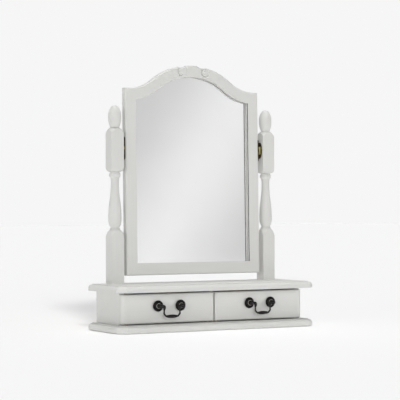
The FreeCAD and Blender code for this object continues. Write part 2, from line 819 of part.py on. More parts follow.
# The swivel pins lie on the axis, so one hole set serves the upright posts and the leaning frame.
pin_length = "(2 * pin_depth + swivel_gap)"
pin_bores = {}
for side, sign in SIDES.items():
    aim = "-x" if sign == "" else "+x"
    pin_bores[side] = {
        where: rod(
            f"pin_bore_{where}_{side}", aim, (f"{sign}({MIRROR_HALF} + swivel_gap + pin_depth)", y, z),
            f"({pin_length} + tip_gap)", f"(pin_radius + {play})",
        )
        for where, y, z, play in (("post", POST_Y, PIVOT_Z, "fit_clear"), ("frame", "0", "0", "pin_play"))
    }

for side, sign in SIDES.items():
    holes = group(
        f"stile_holes_{side}",
        [frame_dowel_holes, clip_screw_holes, frame_plate_holes[side], pin_bores[side]["frame"]],
    )
    stile = frame_stile(f"stile_blank_{side}", sign)
    node(swing(cut(f"stile_{side}", stile, holes)), f"frame_stile_{side}")
rail_holes = group("rail_holes", [frame_dowel_holes, clip_screw_holes])
node(swing(cut("bottom_rail", bottom_rail("bottom_rail_blank"), rail_holes)), "frame_bottom_rail")
crest_at_scallop = f"({CREST_CENTRE} + sqrt({CREST_RADIUS} ^ 2 - scallop_offset ^ 2))"
scallop_level = f"({crest_at_scallop} + scallop_radius - scallop_depth)"
scallops = group("scallops", [
    rod(f"scallop_{side}", "+y", (f"{sign}scallop_offset", f"-{FRAME_THICK}", scallop_level),
        f"(2 * {FRAME_THICK})", "scallop_radius")
    for side, sign in SIDES.items()
])
top_rail_tools = group("top_rail_tools", [rail_holes, scallops])
node(swing(cut("top_rail", top_rail("top_rail_blank"), top_rail_tools)), "frame_top_rail")
node(swing(frame_dowels), "frame_dowels")
node(swing(glazing("glass", REBATE_LIFT, "glass_thick")), "mirror_glass")
node(swing(glazing("backing", f"({REBATE_LIFT} - glass_thick)", "backing_thick")), "mirror_backing")
clips = group("clips", [clip(turn, spot) for turn, spot in enumerate(clip_spots)])
node(swing(cut("drilled_clips", clips, clip_screw_holes)), "backing_clips")
node(swing(clip_screws), "clip_screws")


# -------------------------------------------------------------------------- swivel fittings

def boss(name, aim, spot):
    """The round boss in the middle of a swivel plate."""
    return rod(name, aim, spot, "(plate_thick + plate_boss_height)", "plate_boss_radius")


def oval_plate(name, sign):
    """An oval plate on a post's inner face, with its boss towards the mirror."""
    face = f"{sign}({MIRROR_HALF} + swivel_gap)"
    oval = doc.addObject("Part::Ellipse", f"{name}_oval")
    oval.setExpression("MajorRadius", bound("post_plate_height / 2"))
    oval.setExpression("MinorRadius", bound("post_plate_width / 2"))
    place(oval, (face, POST_Y, PIVOT_Z), FreeCAD.Rotation(FreeCAD.Vector(0, 1, 0), -90))
    sheet_metal = doc.addObject("Part::Extrusion", f"{name}_sheet")
    sheet_metal.Base = oval
    sheet_metal.DirMode = "Custom"
    sheet_metal.Dir = FreeCAD.Vector(-1 if sign == "" else 1, 0, 0)
    sheet_metal.Solid = True
    sheet_metal.setExpression("LengthFwd", bound("plate_thick"))
    aim = "-x" if sign == "" else "+x"
    return fuse(name, [sheet_metal, boss(f"{name}_boss", aim, (face, POST_Y, PIVOT_Z))])


def long_plate(name, sign):
    """A round-ended plate on a stile's outer edge, with its boss towards the post."""
    face, proud = f"{sign}{MIRROR_HALF}", f"{sign}({MIRROR_HALF} + plate_thick)"
    aim = "+x" if sign == "" else "-x"
    low, high = (face, proud) if sign == "" else (proud, face)
    half = "(frame_plate_width / 2)"
    straight = f"(frame_plate_height / 2 - {half})"
    bar = box(f"{name}_bar", (low, f"-{half}", f"-{straight}"), (high, half, straight))
    ends = [
        rod(f"{name}_end{way}", aim, (face, "0", f"{way}{straight}"), "plate_thick", half)
        for way in ("-", "")
    ]
    return fuse(name, [bar, *ends, boss(f"{name}_boss", aim, (face, "0", "0"))])


washer_thick = "(swivel_gap - 2 * plate_thick - 2 * plate_boss_height - washer_play)"
for side, sign in SIDES.items():
    inward = "-x" if sign == "" else "+x"
    post_bore = pin_bores[side]["post"]
    frame_bore = pin_bores[side]["frame"]
    post = place(turned_post(f"post_blank_{side}"), (f"{sign}{POST_X}", POST_Y, BOARD_TOP))
    tools = group(f"post_tools_{side}", [post_screw_holes, post_plate_holes[side], post_bore])
    node(cut(f"turned_post_{side}", post, tools), f"post_{side}")
    oval = oval_plate(f"oval_blank_{side}", sign)
    tools = group(f"post_plate_tools_{side}", [post_plate_holes[side], post_bore])
    node(cut(f"oval_plate_{side}", oval, tools), f"post_plate_{side}")
    long = long_plate(f"long_blank_{side}", sign)
    tools = group(f"frame_plate_tools_{side}", [frame_plate_holes[side], frame_bore])
    node(swing(cut(f"long_plate_{side}", long, tools)), f"frame_plate_{side}")
    pin_start = (f"{sign}({MIRROR_HALF} + swivel_gap + pin_depth)", POST_Y, PIVOT_Z)
    node(rod(f"pin_{side}", inward, pin_start, pin_length, "pin_radius"), f"swivel_pin_{side}")
    seat = f"{sign}({MIRROR_HALF} + swivel_gap - plate_thick - plate_boss_height)"
    ring = rod(f"washer_blank_{side}", inward, (seat, POST_Y, PIVOT_Z), washer_thick, "washer_radius")
    node(cut(f"washer_{side}", ring, post_bore), f"swivel_washer_{side}")
    node(post_plate_screws[side], f"post_plate_screws_{side}")
    node(swing(frame_plate_screws[side]), f"frame_plate_screws_{side}")


# --------------------------------------------------------------------------------- drawers

DRAWER_FOOT = "(base_thick + runner_play)"
DRAWER_RIM = f"({DRAWER_FOOT} + drawer_side_height)"
DRAWER_END = f"({CASE_END} - end_gap)"
HANDLE_X = f"(({CASE_HALF} + front_split / 2) / 2)"
HANDLE_Z = "(base_thick + case_height / 2 + handle_rise)"
BAIL_Y = f"({FACE} - boss_reach)"


def across(sign, near, far, foot_y, foot_z, back_y, top_z, name):
    """A box from near to far of the middle plane, on the side that sign gives."""
    if sign == "":
        return box(name, (near, foot_y, foot_z), (far, back_y, top_z))
    return box(name, (f"-{far}", foot_y, foot_z), (f"-{near}", back_y, top_z))


def drawer_front(name, sign):
    """The overlay front with its front edges rounded, and more so at the case's end."""
    body = doc.addObject("PartDesign::Body", name)
    near, far = f"{sign}(front_split / 2)", f"{sign}{CASE_HALF}"
    low, high = (near, far) if sign == "" else (far, near)
    board = rectangle(low, "(base_thick + foot_gap)", high, f"({CASE_TOP} - head_gap)")
    feature = pad(body, draw(sketch_on(body, "XZ_Plane", f"-{FACE_BACK}"), board), "drawer_front_thick")
    face = number(FACE)
    end = number(CASE_HALF)
    flat_end = end - number("front_end_round")

    def at_end(middle, edge):
        return same(middle.y, face) and same(abs(middle.x), end)

    def elsewhere(middle, edge):
        return same(middle.y, face) and not same(abs(middle.x), flat_end)

    feature = fillet(body, feature, "front_end_round", at_end)
    fillet(body, feature, "front_round", elsewhere)
    return body


def rosette(name, x):
    """A turned rosette with a flared, stepped base, a ball for the bail and a threaded tail."""
    body = doc.addObject("PartDesign::Body", name)
    ball_foot = "(boss_reach - sqrt(ball_radius ^ 2 - ball_neck_radius ^ 2))"
    tail = "(drawer_front_thick + stem_tail)"
    profile = [
        ("0", tail),
        ("0", "-(boss_reach + ball_radius)", "ball_radius", "left"),
        ("ball_neck_radius", f"-{ball_foot}"),
        ("rosette_cap_radius", "-rosette_cap_height"),
        ("(rosette_cap_radius + rosette_bevel)", "-rosette_ring_height"),
        ("rosette_ring_radius", "-rosette_ring_height"),
        ("(rosette_ring_radius + rosette_bevel)", "-rosette_rim_height"),
        ("(rosette_radius - rosette_bevel)", "-rosette_rim_height"),
        ("rosette_radius", "-(rosette_rim_height - rosette_bevel)"),
        ("rosette_radius", "-rosette_flare_height"),
        ("rosette_foot_radius", "0"),
        ("stem_radius", "0"),
        ("stem_radius", tail),
    ]
    sketch = draw(sketch_on(body, "XY_Plane"), profile)
    turned = body.newObject("PartDesign::Revolution", f"{name}_turned")
    turned.Profile = sketch
    turned.ReferenceAxis = (sketch, ["V_Axis"])
    turned.Angle = 360
    doc.recompute()
    return place(body, (x, FACE, HANDLE_Z))


def rounded_path(points, radii):
    """Straight runs through points in one plane, joined by tangent arcs."""
    edges = []
    start = points[0]
    for before, corner, after, radius in zip(points, points[1:], points[2:], radii):
        into = corner.sub(before).normalize()
        away = after.sub(corner).normalize()
        turn = into.getAngle(away)
        reach = radius * math.tan(turn / 2)
        first = corner - into * reach
        last = corner + away * reach
        inwards = (away - into).normalize()
        middle = corner + inwards * (radius / math.cos(turn / 2) - radius)
        edges.append(Part.LineSegment(start, first).toShape())
        edges.append(Part.Arc(first, middle, last).toShape())
        start = last
    edges.append(Part.LineSegment(start, points[-1]).toShape())
    return Part.Wire(edges)


def bail_shape():
    """A swan-necked drop bail about its own pivot axis, hanging along -Z with a swelled grip."""
    half_points = [
        (number("handle_spacing / 2 + bail_end"), 0),
        (number("bail_throat"), 0),
        (number("bail_belly"), -number("bail_belly_drop")),
        (number("grip_half"), -number("bail_drop")),
    ]
    points = [FreeCAD.Vector(-x, 0, z) for x, z in half_points]
    points += [FreeCAD.Vector(x, 0, z) for x, z in reversed(half_points)]
    bends = [number(size) for size in ("throat_bend", "belly_bend", "heel_bend")]
    path = rounded_path(points, [*bends, *reversed(bends)])
    section = Part.Wire([Part.Circle(points[0], FreeCAD.Vector(1, 0, 0), number("bail_radius")).toShape()])
    tube = path.makePipeShell([section], True, False)
    reach = number("grip_half - grip_inset")
    level = -number("bail_drop")
    end_height = number("bail_radius") + level
    swell = Part.Arc(
        FreeCAD.Vector(-reach, 0, end_height),
        FreeCAD.Vector(0, 0, level + number("grip_radius")),
        FreeCAD.Vector(reach, 0, end_height),
    ).toShape()
    left = FreeCAD.Vector(-reach, 0, level)
    right = FreeCAD.Vector(reach, 0, level)
    outline = Part.Wire([
        swell,
        Part.LineSegment(FreeCAD.Vector(reach, 0, end_height), right).toShape(),
        Part.LineSegment(right, left).toShape(),
        Part.LineSegment(left, FreeCAD.Vector(-reach, 0, end_height)).toShape(),
    ])
    grip = Part.Face(outline).revolve(left, FreeCAD.Vector(1, 0, 0), 360)
    return tube.fuse(grip).removeSplitter()


for side, sign in SIDES.items():
    near = f"({BAY_INNER} + side_play)"
    far = f"({BAY_OUTER} - side_play)"
    near_inside = f"({near} + drawer_side_thick)"
    far_inside = f"({far} - drawer_side_thick)"
    groove_near = f"({near_inside} - groove_depth)"
    groove_far = f"({far_inside} + groove_depth)"
    base_foot = f"({DRAWER_FOOT} + drawer_base_rise)"
    base_top = f"({base_foot} + drawer_base_thick)"
    mid_near = f"({near} + drawer_side_thick / 2)"
    mid_far = f"({far} - drawer_side_thick / 2)"
    heights = (f"({DRAWER_FOOT} + joint_inset)", f"({DRAWER_RIM} - joint_inset / 2)")

    dowel_start = f"({FACE_BACK} - drawer_dowel_bite)"
    dowels, dowel_holes = rod_set(
        f"drawer_dowels_{side}", "+y",
        [(f"{sign}{x}", dowel_start, z) for x in (mid_near, mid_far) for z in heights],
        "(2 * drawer_dowel_bite)", "drawer_dowel_radius",
    )
    end_y = f"({DRAWER_END} - drawer_side_thick / 2)"
    pins = []
    pin_holes = []
    for part_name, x, towards_middle in (("near", near, False), ("far", far, True)):
        aim = "-x" if towards_middle == (sign == "") else "+x"
        rods, holes = rod_set(
            f"drawer_{part_name}_pins_{side}", aim, [(f"{sign}{x}", end_y, z) for z in heights],
            "(drawer_side_thick + pin_nail_bite)", "pin_nail_radius",
        )
        pins.append(rods)
        pin_holes.append(holes)
    groove = across(
        sign, f"({groove_near} - fit_clear)", f"({groove_far} + fit_clear)",
        f"({FACE_BACK} - groove_depth - fit_clear)", f"({base_foot} - fit_clear)",
        f"({DRAWER_END} + tip_gap)", f"({base_top} + fit_clear)", f"drawer_groove_{side}",
    )
    stems = [
        (f"({sign}{HANDLE_X} {way} handle_spacing / 2)", FACE, HANDLE_Z) for way in ("-", "+")
    ]
    stem_holes = [
        rod(f"stem_hole_{side}_{turn}", "+y", spot, "drawer_front_thick", "(stem_radius + fit_clear)")
        for turn, spot in enumerate(stems)
    ]
    box_tools = group(f"drawer_tools_{side}", [groove, dowel_holes, *pin_holes])
    front_tools = group(f"front_tools_{side}", [groove, dowel_holes, *stem_holes])
    front = drawer_front(f"front_blank_{side}", sign)
    node(cut(f"front_{side}", front, front_tools), f"drawer_front_{side}")
    for part_name, low_x, high_x in (("inner", near, near_inside), ("outer", far_inside, far)):
        blank = across(sign, low_x, high_x, FACE_BACK, DRAWER_FOOT, DRAWER_END, DRAWER_RIM,
                       f"drawer_blank_{part_name}_{side}")
        node(cut(f"drawer_wall_{part_name}_{side}", blank, box_tools), f"drawer_{part_name}_side_{side}")
    blank = across(sign, near_inside, far_inside, f"({DRAWER_END} - drawer_side_thick)", base_top,
                   DRAWER_END, DRAWER_RIM, f"drawer_back_blank_{side}")
    back_tools = group(f"drawer_back_tools_{side}", pin_holes)
    node(cut(f"drawer_wall_back_{side}", blank, back_tools), f"drawer_back_{side}")
    floor_front = f"({FACE_BACK} - groove_depth)"
    floor = across(sign, groove_near, groove_far, floor_front, base_foot, DRAWER_END, base_top,
                   f"drawer_floor_{side}")
    node(floor, f"drawer_bottom_{side}")
    node(dowels, f"drawer_dowels_{side}")
    node(group(f"drawer_nails_{side}", pins), f"drawer_pins_{side}")

    bail_start = (f"({sign}{HANDLE_X} - handle_spacing / 2 - bail_radius)", BAIL_Y, HANDLE_Z)
    bail_hole = rod(
        f"bail_hole_{side}", "+x", bail_start,
        "(handle_spacing + 2 * bail_radius)", "(bail_radius + bail_play)",
    )
    rosettes = group(f"rosette_blanks_{side}", [
        rosette(f"rosette_{side}_{turn}", spot[0]) for turn, spot in enumerate(stems)
    ])
    node(cut(f"rosettes_{side}", rosettes, bail_hole), f"handle_rosettes_{side}")
    nuts = []
    for turn, (x, _, z) in enumerate(stems):
        seat = (x, FACE_BACK, z)
        nut = doc.addObject("Part::Prism", f"nut_{side}_{turn}")
        nut.Polygon = 6
        nut.setExpression("Circumradius", bound("nut_radius"))
        nut.setExpression("Height", bound("nut_thick"))
        place(nut, seat, AIM["+y"])
        bore = rod(f"nut_bore_{side}_{turn}", "+y", seat, "nut_thick", "(stem_radius + fit_clear)")
        nuts.append(cut(f"bored_nut_{side}_{turn}", nut, bore))
    node(group(f"nuts_{side}", nuts), f"handle_nuts_{side}")
    bail = doc.addObject("Part::Feature", f"bail_{side}")
    bail.Shape = bail_shape()
    node(place(bail, (f"{sign}{HANDLE_X}", BAIL_Y, HANDLE_Z)), f"handle_bail_{side}")


# --------------------------------------------------------------------------- check and export

doc.recompute()
for item in doc.Objects:
    if "Invalid" in item.State or "Error" in item.State:
        raise RuntimeError(f"{item.Name} failed: {item.State}")
for item in nodes:
    if item.Shape.isNull() or not item.Shape.isValid() or not item.Shape.Solids:
        raise RuntimeError(f"{item.Label} has no valid solid")

os.makedirs("parts", exist_ok=True)
for item in nodes:
    item.Shape.exportStep(f"parts/{item.Label}.step")
    print(f"{item.Label:28s} {len(item.Shape.Solids):2d} solids {item.Shape.Volume:12.1f} mm3")
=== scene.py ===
import math

import bmesh
import bpy
from mathutils import Matrix, Vector


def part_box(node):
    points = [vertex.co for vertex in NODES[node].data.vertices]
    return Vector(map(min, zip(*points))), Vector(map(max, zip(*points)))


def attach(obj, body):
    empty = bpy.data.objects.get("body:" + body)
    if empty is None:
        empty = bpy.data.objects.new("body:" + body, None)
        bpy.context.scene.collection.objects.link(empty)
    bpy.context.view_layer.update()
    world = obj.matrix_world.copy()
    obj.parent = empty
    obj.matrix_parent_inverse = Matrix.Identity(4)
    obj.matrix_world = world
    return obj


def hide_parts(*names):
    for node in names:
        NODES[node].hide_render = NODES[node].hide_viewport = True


# Looks of the dressing-table mirror, in metres: +Z up, the drawers face -Y. Places and sizes come from the
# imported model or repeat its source; this file adds the finishes, the finely shaped pieces and the studio.

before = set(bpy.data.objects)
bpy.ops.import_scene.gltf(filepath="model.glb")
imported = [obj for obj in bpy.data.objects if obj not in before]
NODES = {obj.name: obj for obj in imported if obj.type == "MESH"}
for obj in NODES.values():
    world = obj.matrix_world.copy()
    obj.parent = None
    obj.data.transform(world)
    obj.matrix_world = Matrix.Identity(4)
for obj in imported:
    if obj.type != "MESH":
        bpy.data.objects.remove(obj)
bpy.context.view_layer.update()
SIDES = ("left", "right")


def linear(tone):
    """The light value behind an 8-bit screen tone."""
    share = tone / 255
    return share / 12.92 if share <= 0.04045 else ((share + 0.055) / 1.055) ** 2.4


def colour(red, green, blue):
    """A colour from its 8-bit screen tones."""
    return (linear(red), linear(green), linear(blue), 1.0)


# The mirror's own frame: X across, Y back and Z up from the swivel axis, leaning back with the mirror.
# The sizes are the source's, in this frame. A member's inset is measured in from the frame's outer edge.
MIRROR_LEAN = math.radians(1.0)
SWIVEL = (Vector(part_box("swivel_pin_left")[0]) + Vector(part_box("swivel_pin_left")[1])) / 2
MIRROR_FRAME = Matrix.Translation((0.0, SWIVEL.y, SWIVEL.z)) @ Matrix.Rotation(-MIRROR_LEAN, 4, "X")
SHOULDER = 0.1354
CREST_TOP = 0.192
CREST_RADIUS = 0.165
COVE_START = 0.162
MEMBER = 0.027
SIGHT = 0.146
LIP = 0.007
FRONT = -0.0075
BACK = 0.0075
LIP_BACK = FRONT + LIP
REBATE = 0.021
SCALLOP = 0.026
SCALLOP_DEPTH = 0.0029
SCALLOP_X = 0.028
# The stiles' painted strips, as ranges of depth or of the distance from the middle: a dark line of painted
# shade and a white line of painted highlight on the face beside the glass, and the bed behind the lip,
# painted whiter than the paint as a painted highlight seen in the mirror. The end grain is kept clear.
SIGHT_EDGE_SHADE = colour(44, 43, 41)
SIGHT_EDGE_HIGHLIGHT = colour(249, 249, 247)
SHADE_LINE_DEPTHS = (-0.0060, -0.0022)
SIGHT_FACE = (SIGHT - 0.0003, SIGHT + 0.0003)
BED_FACE = (SIGHT + 0.0003, SIGHT + 0.0062)
BED_DEPTH = (LIP_BACK - 0.0003, BACK - 0.0002)
END_GRAIN = 0.001


# ------------------------------------------------------------------------------ materials

class Nodes:
    """Short calls that add nodes to a tree and join them."""

    def __init__(self, tree):
        self.tree = tree

    def feed(self, socket, value):
        """Join a socket to another node's output, or give it a constant."""
        if isinstance(value, bpy.types.NodeSocket):
            self.tree.links.new(value, socket)
        else:
            socket.default_value = value

    def add(self, kind, **values):
        """Add a node and feed its sockets by name."""
        made = self.tree.nodes.new(kind)
        for name, value in values.items():
            self.feed(made.inputs[name.replace("_", " ")], value)
        return made

    def operate(self, kind, operation, first, second):
        """One step of arithmetic on two values or vectors."""
        made = self.add(kind)
        made.operation = operation
        self.feed(made.inputs[0], first)
        self.feed(made.inputs[1], second)
        return made.outputs["Value"]

    def calculate(self, operation, first, second):
        """One step of arithmetic on two values."""
        return self.operate("ShaderNodeMath", operation, first, second)

    def dot(self, first, second):
        """How far one vector reaches along another."""
        return self.operate("ShaderNodeVectorMath", "DOT_PRODUCT", first, second)


class Finish(Nodes):
    """A material under construction, with a Principled shader."""

    def __init__(self, name, **constants):
        self.material = bpy.data.materials.new(name)
        self.material.use_nodes = True
        super().__init__(self.material.node_tree)
        self.shader = self.tree.nodes["Principled BSDF"]
        self.set(**constants)

    def set(self, **values):
        """Feed the shader's sockets by name."""
        for name, value in values.items():
            self.feed(self.shader.inputs[name.replace("_", " ")], value)
        return self

    def place(self, scale=(1, 1, 1)):
        """The object's own coordinates, scaled along each axis."""
        where = self.add("ShaderNodeTexCoord").outputs["Object"]
        return self.add("ShaderNodeMapping", Vector=where, Scale=scale).outputs["Vector"]

    def noise(self, where, scale, detail=4.0, roughness=0.5, distortion=0.0):
        """Fractal noise between 0 and 1."""
        texture = {"Scale": scale, "Detail": detail, "Roughness": roughness, "Distortion": distortion}
        return self.add("ShaderNodeTexNoise", Vector=where, **texture).outputs["Fac"]

    def ramp(self, value, *stops):
        """Colours spread over a value, as (position, colour) stops."""
        made = self.add("ShaderNodeValToRGB", Fac=value)
        elements = made.color_ramp.elements
        for _ in stops[2:]:
            elements.new(1.0)
        for element, (position, shade) in zip(elements, stops):
            element.position = position
            element.color = shade
        return made.outputs["Color"]

    def spread(self, value, low, high):
        """A value between 0 and 1, spread between low and high."""
        return self.add("ShaderNodeMapRange", Value=value, To_Min=low, To_Max=high).outputs["Result"]

    def blend(self, first, share, second, other):
        """The sum of two values, each with its own share."""
        first = self.calculate("MULTIPLY", first, share)
        return self.calculate("ADD", first, self.calculate("MULTIPLY", second, other))

    def between(self, value, low, high):
        """1 where a value lies between two bounds, otherwise 0."""
        over = self.calculate("GREATER_THAN", value, low)
        return self.calculate("MULTIPLY", over, self.calculate("LESS_THAN", value, high))

    def tint(self, mask, shade):
        """Lay a flat shade over the finish's colour where the mask is 1."""
        mix = self.add("ShaderNodeMix")
        mix.data_type = "RGBA"
        colours = [socket for socket in mix.inputs if socket.type == "RGBA"]
        self.feed(mix.inputs[0], mask)
        self.feed(colours[0], self.shader.inputs["Base Color"].links[0].from_socket)
        self.feed(colours[1], shade)
        self.set(Base_Color=[socket for socket in mix.outputs if socket.type == "RGBA"][0])

    def relief(self, height, distance):
        """Bumps of a height map, with the height of its full range in metres."""
        return self.add("ShaderNodeBump", Strength=1.0, Distance=distance, Height=height).outputs["Normal"]


def along(grain, length, width):
    """Scales for a pattern that is long along one axis and narrow across it."""
    return tuple(length if axis == grain else width for axis in "xyz")


def painted_wood(grain, note="", shades=(colour(206, 206, 203), colour(211, 211, 208)), sight_edge=False):
    """Satin pale grey-white paint, brushed along the grain, with the wood's figure just showing through."""
    finish = Finish(f"paint_along_{grain}{note}", IOR=1.46)
    streaks = finish.noise(finish.place(along(grain, 9, 260)), 1.0, 5.0, 0.62)
    figure = finish.noise(finish.place(along(grain, 2.2, 34)), 1.0, 3.0, 0.5, 0.6)
    film = finish.noise(finish.place(), 900.0, 2.0)
    clouds = finish.noise(finish.place(), 7.0, 3.0)
    shade = finish.blend(streaks, 0.45, clouds, 0.55)
    finish.set(
        Base_Color=finish.ramp(shade, (0.25, shades[0]), (0.75, shades[1])),
        Roughness=finish.spread(clouds, 0.40, 0.52),
    )
    height = finish.blend(streaks, 0.35, figure, 0.55)
    height = finish.calculate("ADD", height, finish.calculate("MULTIPLY", film, 0.10))
    # The sight edge gets strips of painted shade and painted highlight.
    if sight_edge:
        paint_sight_edge_shade_and_highlight(finish)
    return finish.set(Normal=finish.relief(height, 0.00022)).material


def paint_sight_edge_shade_and_highlight(finish):
    """The stiles' inner edge: strips of painted shade and painted highlight beside the glass and where it
    beds.
    """
    spot = finish.add("ShaderNodeTexCoord").outputs["Object"]
    backward = (0.0, math.cos(MIRROR_LEAN), -math.sin(MIRROR_LEAN))
    start = backward[1] * SWIVEL.y + backward[2] * SWIVEL.z
    depth = finish.calculate("SUBTRACT", finish.dot(spot, backward), start)
    axes = finish.add("ShaderNodeSeparateXYZ", Vector=spot).outputs
    across = finish.calculate("ABSOLUTE", axes["X"], 0.0)
    foot, top = (corner[2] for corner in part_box("frame_stile_left"))
    inside = finish.between(axes["Z"], foot + END_GRAIN, top - END_GRAIN)
    # The dark strip is painted shade; the white strips are painted highlight.
    for shade, reach, depths in (
        (SIGHT_EDGE_SHADE, SIGHT_FACE, SHADE_LINE_DEPTHS),
        (SIGHT_EDGE_HIGHLIGHT, SIGHT_FACE, (SHADE_LINE_DEPTHS[1], LIP_BACK)),
        (SIGHT_EDGE_HIGHLIGHT, BED_FACE, BED_DEPTH),
    ):
        strip = finish.calculate("MULTIPLY", finish.between(across, *reach), finish.between(depth, *depths))
        finish.tint(finish.calculate("MULTIPLY", strip, inside), shade)


def bare_wood(name, grain, light, dark):
    """Planed timber: growth rings drawn out along the grain, with fine pores and a dull surface."""
    finish = Finish(name, IOR=1.45)
    bend = finish.noise(finish.place(along(grain, 2.5, 22)), 1.0, 3.0, 0.5, 0.4)
    rings = finish.add(
        "ShaderNodeTexWave", Vector=finish.place(along(grain, 1.2, 30)), Scale=0.9, Distortion=7.0, Detail=2.0
    )
    pores = finish.noise(finish.place(along(grain, 60, 1900)), 1.0, 2.0, 0.6)
    figure = finish.blend(rings.outputs["Fac"], 0.5, bend, 0.5)
    figure = finish.calculate("ADD", figure, finish.calculate("MULTIPLY", pores, 0.16))
    finish.set(
        Base_Color=finish.ramp(figure, (0.25, light), (0.95, dark)), Roughness=finish.spread(pores, 0.62, 0.8)
    )
    return finish.set(Normal=finish.relief(figure, 0.00018)).material


def hardboard(name, light, dark):
    """Pressed fibre sheet: short mottled fibres over faint broad clouds."""
    finish = Finish(name, IOR=1.45)
    fibres = finish.noise(finish.place((420, 420, 900)), 1.0, 4.0, 0.7, 1.2)
    clouds = finish.noise(finish.place(), 18.0, 3.0)
    mix = finish.blend(fibres, 0.6, clouds, 0.4)
    finish.set(
        Base_Color=finish.ramp(mix, (0.3, dark), (0.7, light)), Roughness=finish.spread(fibres, 0.6, 0.78)
    )
    return finish.set(Normal=finish.relief(fibres, 0.00015)).material


def metal(name, light, dark, rough, grain_scale, pits, metallic=1.0):
    """A metal with patches of tarnish or wear and a fine surface."""
    finish = Finish(name, Metallic=metallic)
    patches = finish.noise(finish.place(), 120.0, 5.0, 0.6)
    fine = finish.noise(finish.place(), grain_scale, 3.0)
    finish.set(
        Base_Color=finish.ramp(patches, (0.35, dark), (0.68, light)),
        Roughness=finish.spread(patches, rough[1], rough[0]),
    )
    return finish.set(Normal=finish.relief(fine, pits)).material


def black_lacquer(name, dark, wear_and_highlight):
    """Glossy black lacquer on a casting: crisp small highlights, with brown wear where it is rubbed; given
    pale colours, it is a painted highlight instead.
    """
    finish = Finish(name, Specular_IOR_Level=0.3)
    patches = finish.noise(finish.place(), 160.0, 4.0, 0.6)
    cast = finish.noise(finish.place(), 900.0, 3.0)
    finish.set(
        Base_Color=finish.ramp(patches, (0.45, dark), (0.7, wear_and_highlight)),
        Roughness=finish.spread(patches, 0.16, 0.30),
    )
    return finish.set(Normal=finish.relief(cast, 0.00005)).material


PAINT = {grain: painted_wood(grain) for grain in "xyz"}
# The stiles' paint, with painted shade and painted highlight at the sight edge.
STILE_PAINT_WITH_PAINTED_LIGHT = painted_wood("z", "_sight_edge", sight_edge=True)
# The paint of the carved lines, darker as painted shade.
CARVING_PAINTED_SHADE = painted_wood("x", "_recess_painted_shade", (colour(178, 178, 174), colour(184, 184, 180)))
PINE = {
    grain: bare_wood(f"pine_along_{grain}", grain, colour(222, 196, 152), colour(188, 150, 100))
    for grain in "xyz"
}
PLY = bare_wood("plywood", "x", colour(205, 176, 132), colour(170, 134, 92))
BOARD = hardboard("hardboard", colour(150, 110, 72), colour(106, 72, 44))
BRASS, YELLOW_ZINC = (
    metal(name, colour(246, 238, 172), colour(226, 214, 140), (0.3, 0.42), 1400.0, 0.00003, 0.8)
    for name in ("polished_brass", "yellow_zinc_plate")
)
BRONZE = metal("darkened_brass", colour(88, 68, 38), colour(40, 30, 20), (0.32, 0.55), 1400.0, 0.00005)
STEEL = metal("zinc_plate", colour(186, 188, 190), colour(150, 152, 156), (0.25, 0.42), 1800.0, 0.00003)
BLACK = black_lacquer("black_iron", colour(7, 7, 7), colour(30, 27, 23))
# A paler black that paints the highlights on the rosettes' inner beads.
HIGHLIGHT_BLACK = black_lacquer("black_iron_painted_highlight", colour(118, 115, 108), colour(178, 174, 166))


def paint_node(name, material):
    """Give a whole CAD node one finish."""
    slots = NODES[name].data.materials
    slots.clear()
    slots.append(material)


NODE_FINISHES = {
    "base_board": PAINT["x"], "top_board": PAINT["x"],
    "frame_bottom_rail": PAINT["x"], "frame_top_rail": PAINT["x"],
    "centre_divider": PINE["y"], "back_panel": PLY, "mirror_backing": BOARD,
    "case_screws": STEEL, "top_dowels": PINE["z"], "back_panel_pins": STEEL, "post_screws": STEEL,
    "frame_dowels": PINE["x"], "backing_clips": STEEL, "clip_screws": STEEL,
}
SIDED_FINISHES = {
    "side_panel": PAINT["z"], "post": PAINT["z"], "frame_stile": STILE_PAINT_WITH_PAINTED_LIGHT, "drawer_front": PAINT["x"],
    "post_plate": BRONZE, "frame_plate": BRONZE, "swivel_pin": BRASS, "swivel_washer": YELLOW_ZINC,
    "post_plate_screws": BRONZE, "frame_plate_screws": BRONZE,
    "drawer_inner_side": PINE["y"], "drawer_outer_side": PINE["y"], "drawer_back": PINE["x"],
    "drawer_bottom": PLY, "drawer_dowels": PINE["y"], "drawer_pins": STEEL,
    "handle_rosettes": BLACK, "handle_nuts": STEEL, "handle_bail": BLACK,
}
for node, finish in NODE_FINISHES.items():
    paint_node(node, finish)
for node, finish in SIDED_FINISHES.items():
    for side in SIDES:
        paint_node(f"{node}_{side}", finish)


# --------------------------------------------------------------------------------- pieces

def add_piece(name, body, points, faces, materials, indices=None, frame_of=None, sharp=35.0):
    """A smooth mesh piece that rides on a body; faces past the sharp angle keep a crisp edge."""
    mesh = bpy.data.meshes.new(name)
    mesh.from_pydata([frame_of @ Vector(point) for point in points] if frame_of else points, [], faces)
    tidy = bmesh.new()
    tidy.from_mesh(mesh)
    bmesh.ops.recalc_face_normals(tidy, faces=tidy.faces)
    tidy.to_mesh(mesh)
    tidy.free()
    for material in materials:
        mesh.materials.append(material)
    mesh.polygons.foreach_set("use_smooth", [True] * len(mesh.polygons))
    if indices:
        mesh.polygons.foreach_set("material_index", indices)
    mesh.set_sharp_from_angle(angle=math.radians(sharp))
    piece = bpy.data.objects.new(name, mesh)
    bpy.context.scene.collection.objects.link(piece)
    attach(piece, body)
    return piece


def skin(rings, count):
    """Faces of a closed skin over rings of count points each, with the two end caps last."""
    faces = []
    for start in range(0, (rings - 1) * count, count):
        for step in range(count):
            after = (step + 1) % count
            faces.append((start + step, start + after, start + count + after, start + count + step))
    last = (rings - 1) * count
    return faces + [tuple(range(count)), tuple(range(last, last + count))[::-1]]


def moved_on(faces, start):
    """The same faces over points that come later in the list by start."""
    return [tuple(start + corner for corner in corners) for corners in faces]


